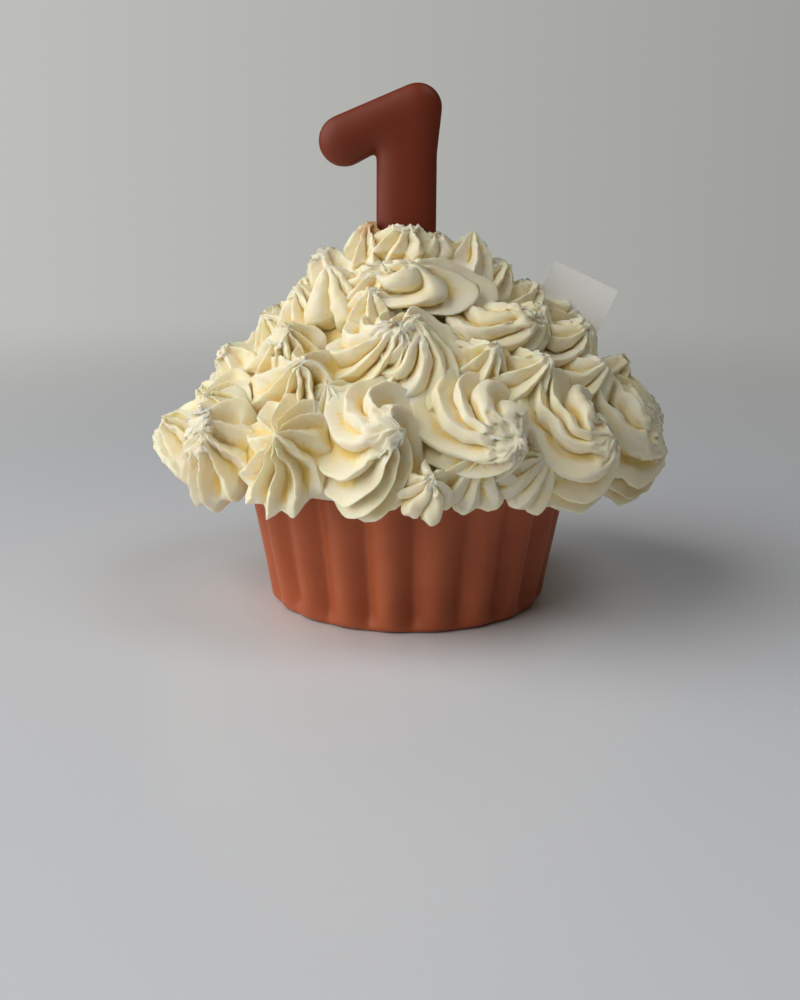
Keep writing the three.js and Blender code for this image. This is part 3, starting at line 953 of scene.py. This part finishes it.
def core_object(name):
    """The plain dome of cream that the dollops stand on."""
    angle = np.arange(CORE_AROUND) * 2 * math.pi / CORE_AROUND
    profile = [(radius, CUP_TOP + GAP) for radius in CORE_FOOT_RADII]
    for z in np.linspace(CORE_SHOULDER_Z, CORE_BROW_Z, CORE_LEVELS):
        tuck = CORE_TUCK * math.exp((CORE_SHOULDER_Z - z) / CORE_TUCK_FADE) + CORE_INSET
        profile.append((centre_radius(z, 90 + np.degrees(angle)) - tuck, z - CORE_DROP))
    grid = np.array([level_ring(radius, angle, z) for radius, z in profile])
    return ring_object(name, grid, (0, 0, CUP_TOP + GAP), (0, 0, CORE_PEAK_Z))


def read_values(items, name, width=1, kind=float):
    """One named value of every item of a mesh, in rows where it has more than one number."""
    flat = np.empty(len(items) * width, dtype=kind)
    items.foreach_get(name, flat)
    return flat.reshape(-1, width) if width > 1 else flat


def vertex_places(mesh):
    """Positions of a mesh's vertices, in millimetres."""
    return read_values(mesh.vertices, "co", 3) / MM


def vertex_areas(mesh):
    """Each vertex's share of the faces round it."""
    face_areas = read_values(mesh.polygons, "area")
    sizes = read_values(mesh.polygons, "loop_total", kind=np.int64)
    corners = read_values(mesh.loops, "vertex_index", kind=np.int64)
    return np.bincount(corners, np.repeat(face_areas / sizes, sizes), len(mesh.vertices))


def store_mark(mesh, name, values):
    """Stores one value for each vertex, for the material to read."""
    mesh.attributes.new(name, "FLOAT", "POINT").data.foreach_set("value", values)


def mark_torn(piece, tips):
    """Stores how torn and how stained the cream is at each vertex, from the dollops' tips."""
    places = vertex_places(piece.data)
    torn = np.zeros(len(places))
    for tip, reach, tear in tips:
        distance = np.linalg.norm(places - tip, axis=1)
        size = reach * (TORN_SIZE[0] + TORN_SIZE[1] * tear)
        torn = np.maximum(torn, tear * np.clip(TORN_FULL - distance / size, 0, TORN_MOST))
    store_mark(piece.data, "torn", torn)
    away = np.linalg.norm(places - np.array(STAIN_PLACE), axis=1)
    store_mark(piece.data, "stain", np.clip(STAIN_FULL - STAIN_SLOPE * away / STAIN_SIZE, 0, 1))


def box_sum(grid, radius):
    """Sum over a cube of cells round every cell."""
    for axis in range(3):
        padded = np.moveaxis(grid, axis, 0)
        zeros = np.zeros((radius + 1,) + padded.shape[1:], dtype=padded.dtype)
        total = np.cumsum(np.concatenate([zeros, padded, zeros[:-1]]), axis=0)
        grid = np.moveaxis(total[2 * radius + 1:] - total[:-2 * radius - 1], 0, axis)
    return grid


def mark_folds(pieces):
    """Stores how deep in a fold each vertex lies: 0 on a crest or a plain face, 1 in a crevice.

    It compares each vertex with the middle of the cream's surface in the few millimetres round it. The
    material paints shade by this mark: darker, yellower cream in the folds, standing in for light bounced
    and scattered there.
    """
    meshes = [piece.data for piece in pieces]
    places = np.concatenate([vertex_places(mesh) for mesh in meshes])
    normals = np.concatenate([read_values(mesh.vertices, "normal", 3) for mesh in meshes])
    areas = np.concatenate([vertex_areas(mesh) for mesh in meshes])
    low = places.min(axis=0) - FOLD_MARGIN * FOLD_CELL
    cells = ((places - low) / FOLD_CELL).astype(np.int64)
    shape = tuple(cells.max(axis=0) + FOLD_MARGIN + 1)
    index = np.ravel_multi_index(cells.T, shape)

    def sum_round(values):
        grid = np.bincount(index, values, int(np.prod(shape))).reshape(shape)
        for radius in FOLD_BLURS:
            grid = box_sum(grid, radius)
        return grid.reshape(-1)[index]

    weight = sum_round(areas)
    offset = np.zeros(len(places))
    for axis in range(3):
        middle = sum_round(areas * places[:, axis]) / weight
        offset += (middle - places[:, axis]) * normals[:, axis]
    fold_shade = np.clip(offset / FOLD_DEPTH, 0, 1)
    start = 0
    for mesh in meshes:
        end = start + len(mesh.vertices)
        store_mark(mesh, "fold_shade", fold_shade[start:end])
        start = end


class CAKE_OT_cream(bpy.types.Operator):
    """Pipes the cream: its core and the tiers of twisted star dollops"""

    bl_idname = "cake.cream"
    bl_label = "Piped cream"

    def execute(self, context):
        scene = context.scene
        material = cream_material(scene.cake_cream)
        room = cup_points(scene.cake_cup, GAP, ROOM_AROUND, ROOM_LEVELS)
        cutters = [
            ring_object("cup_room", room, (0.0, 0.0, -GAP), (0.0, 0.0, CUP_TOP + GAP)),
            number_object("number_room", scene.cake_number, GAP),
            card_object("card_room", scene.cake_card, GAP),
        ]
        back = back_rows()
        tiers = {"skirt": SKIRT, "second": SECOND, "third": THIRD, "crown": CROWN}
        pieces = []
        first = 0
        for tier, front in tiers.items():
            numbered = list(enumerate(front, first)) + back[tier]
            first += len(front)
            parts, tips = [], []
            for index, row in numbered:
                grid, root, tip = dollop_grid(row, index)
                parts.append(ring_object(f"dollop_{index}", grid, root, tip))
                tips.append((tip, row[4], row[10]))
            piece = join_solids("cream_" + tier, parts, cutters)
            mark_torn(piece, tips)
            pieces.append(piece)
        core = join_solids("cream_core", [core_object("core")], cutters)
        mark_torn(core, [])
        pieces.append(core)
        mark_folds(pieces)
        for piece in pieces:
            finish_piece(piece, "cream", material)
        for cutter in cutters:
            bpy.data.objects.remove(cutter)
        return {"FINISHED"}


# ---- stage ----

CAMERA_PLACE = (-1.10, -693.97, 220.01)
CAMERA_PITCH = 0.2470
CAMERA_YAW = -0.0034
CAMERA_ROLL = 0.0063
CAMERA_LENS = 54.0
CAMERA_SENSOR = 36.0

# In metres
LIGHT_TARGET = (0, 0, 0.1)
KEY_PLACE, KEY_SIZE = (-1.39, -0.56, 0.95), 2.6
KEY_COLOUR = (1.0, 0.985, 0.96)
FILL_PLACE, FILL_SIZE = (0.85, -0.4, 1.9), 1.2
FILL_COLOUR = (0.95, 0.97, 1.0)
ROOM_COLOUR, ROOM_LIGHT = (1.0, 0.92, 0.78), 0.07  # light from all round
# painted shade: the backdrop that the camera sees is painted darker toward the right, as if the light from
# the left reached it less there
BACKDROP_LEFT, BACKDROP_RIGHT = -0.25, 0.35  # the backdrop darkens between these directions
BACKDROP_DARKEST = 0.62
FLOOR_RADIUS = 3.0
FLOOR_DROP = 0.0004
FLOOR_FADE = (0.25, 1.1)  # the floor fades into the backdrop between these radii


def camera_matrix():
    """The camera's place and turn, with its roll about the direction it looks in."""
    forward = Vector((
        math.sin(CAMERA_YAW) * math.cos(CAMERA_PITCH),
        math.cos(CAMERA_YAW) * math.cos(CAMERA_PITCH),
        -math.sin(CAMERA_PITCH),
    ))
    side = Vector((math.cos(CAMERA_YAW), -math.sin(CAMERA_YAW), 0.0))
    over = side.cross(forward)
    right = math.cos(CAMERA_ROLL) * side + math.sin(CAMERA_ROLL) * over
    up = -math.sin(CAMERA_ROLL) * side + math.cos(CAMERA_ROLL) * over
    turn = Matrix((right, up, -forward)).transposed()
    return Matrix.Translation(Vector(CAMERA_PLACE) * MM) @ turn.to_4x4()


def add_camera(scene):
    """The camera at the photograph's angle."""
    camera = bpy.data.cameras.new("photo_camera")
    camera.lens = CAMERA_LENS
    camera.sensor_width = CAMERA_SENSOR
    camera.clip_start = 0.01
    holder = link_object("photo_camera", camera)
    holder.matrix_world = camera_matrix()
    scene.camera = holder


def add_floor(settings):
    """A plain pale floor that fades out at a distance."""
    bm = bmesh.new()
    bmesh.ops.create_circle(bm, cap_ends=True, segments=96, radius=FLOOR_RADIUS)
    mesh = bpy.data.meshes.new("floor")
    bm.to_mesh(mesh)
    bm.free()
    floor = link_object("floor", mesh)
    floor.location = (0, 0, -FLOOR_DROP)
    material, tree, surface = new_material("pale_floor")
    place = add_node(tree, "ShaderNodeTexCoord")
    away = add_node(tree, "ShaderNodeVectorMath", {0: place.outputs["Object"]}, operation="LENGTH")
    start, end = FLOOR_FADE
    fade_ends = {"From Min": start, "From Max": end, "To Min": 1.0, "To Max": 0.0}
    join_inputs(tree, surface, {
        "Base Color": opaque(settings.floor_colour),
        "Roughness": 0.35,
        "Alpha": map_range(tree, away.outputs["Value"], fade_ends, interpolation_type="SMOOTHSTEP"),
    })
    floor.data.materials.append(material)


def area_light(name, place, size, power, colour):
    """A soft round light that shines on the cake."""
    light = bpy.data.lights.new(name, "AREA")
    light.shape = "DISK"
    light.size = size
    light.energy = power
    light.color = colour
    holder = link_object(name, light)
    holder.location = place
    holder.rotation_euler = (Vector(LIGHT_TARGET) - Vector(place)).to_track_quat("-Z", "Y").to_euler()


def add_world(scene, settings):
    """The backdrop that the camera sees, with painted shade that darkens it toward the right, and the faint
    light from all round.
    """
    world = bpy.data.worlds.new("studio")
    scene.world = world
    world.use_nodes = True
    tree = world.node_tree
    tree.nodes.clear()
    place = add_node(tree, "ShaderNodeTexCoord")
    parts = add_node(tree, "ShaderNodeSeparateXYZ", {0: place.outputs["Generated"]})
    shade_ends = {"From Min": BACKDROP_LEFT, "From Max": BACKDROP_RIGHT, "To Min": 1.0}
    shade_ends["To Max"] = BACKDROP_DARKEST
    shade = map_range(tree, parts.outputs["X"], shade_ends)
    wall = {"Color": opaque(settings.wall_colour), "Strength": shade}
    room = {"Color": opaque(ROOM_COLOUR), "Strength": ROOM_LIGHT}
    seen = add_node(tree, "ShaderNodeBackground", wall)
    lit = add_node(tree, "ShaderNodeBackground", room)
    path = add_node(tree, "ShaderNodeLightPath")
    choice = {0: path.outputs["Is Camera Ray"], 1: lit.outputs[0], 2: seen.outputs[0]}
    mix = add_node(tree, "ShaderNodeMixShader", choice)
    add_node(tree, "ShaderNodeOutputWorld", {"Surface": mix.outputs[0]})


class CAKE_OT_stage(bpy.types.Operator):
    """Sets up the pale floor, the soft light and the camera"""

    bl_idname = "cake.stage"
    bl_label = "Floor, light and camera"

    def execute(self, context):
        scene = context.scene
        settings = scene.cake_stage
        add_camera(scene)
        add_floor(settings)
        area_light("key", KEY_PLACE, KEY_SIZE, settings.key_power, KEY_COLOUR)
        area_light("fill", FILL_PLACE, FILL_SIZE, settings.fill_power, FILL_COLOUR)
        add_world(scene, settings)
        scene.view_settings.view_transform = "Standard"
        return {"FINISHED"}


class CAKE_PT_panel(bpy.types.Panel):
    """Lists the steps that build the cake"""

    bl_idname = "CAKE_PT_panel"
    bl_label = "Giant cupcake cake"
    bl_space_type = "VIEW_3D"
    bl_region_type = "UI"
    bl_category = "Cake"

    def draw(self, context):
        layout = self.layout
        for operator in OPERATORS:
            layout.operator(operator.bl_idname)


OPERATORS = (CAKE_OT_stage, CAKE_OT_cup, CAKE_OT_cream, CAKE_OT_number, CAKE_OT_card)
GROUPS = {
    "cake_cup": CAKE_PG_cup,
    "cake_cream": CAKE_PG_cream,
    "cake_number": CAKE_PG_number,
    "cake_card": CAKE_PG_card,
    "cake_stage": CAKE_PG_stage,
}


def register():
    for group in GROUPS.values():
        bpy.utils.register_class(group)
    for name, group in GROUPS.items():
        setattr(bpy.types.Scene, name, bpy.props.PointerProperty(type=group))
    for operator in OPERATORS:
        bpy.utils.register_class(operator)
    bpy.utils.register_class(CAKE_PT_panel)


def unregister():
    bpy.utils.unregister_class(CAKE_PT_panel)
    for operator in reversed(OPERATORS):
        bpy.utils.unregister_class(operator)
    for name, group in GROUPS.items():
        delattr(bpy.types.Scene, name)
        bpy.utils.unregister_class(group)


def main():
    register()
    bpy.ops.cake.stage()
    bpy.ops.cake.cup()
    bpy.ops.cake.cream()
    bpy.ops.cake.number()
    bpy.ops.cake.card()


if __name__ == "__main__":
    main()
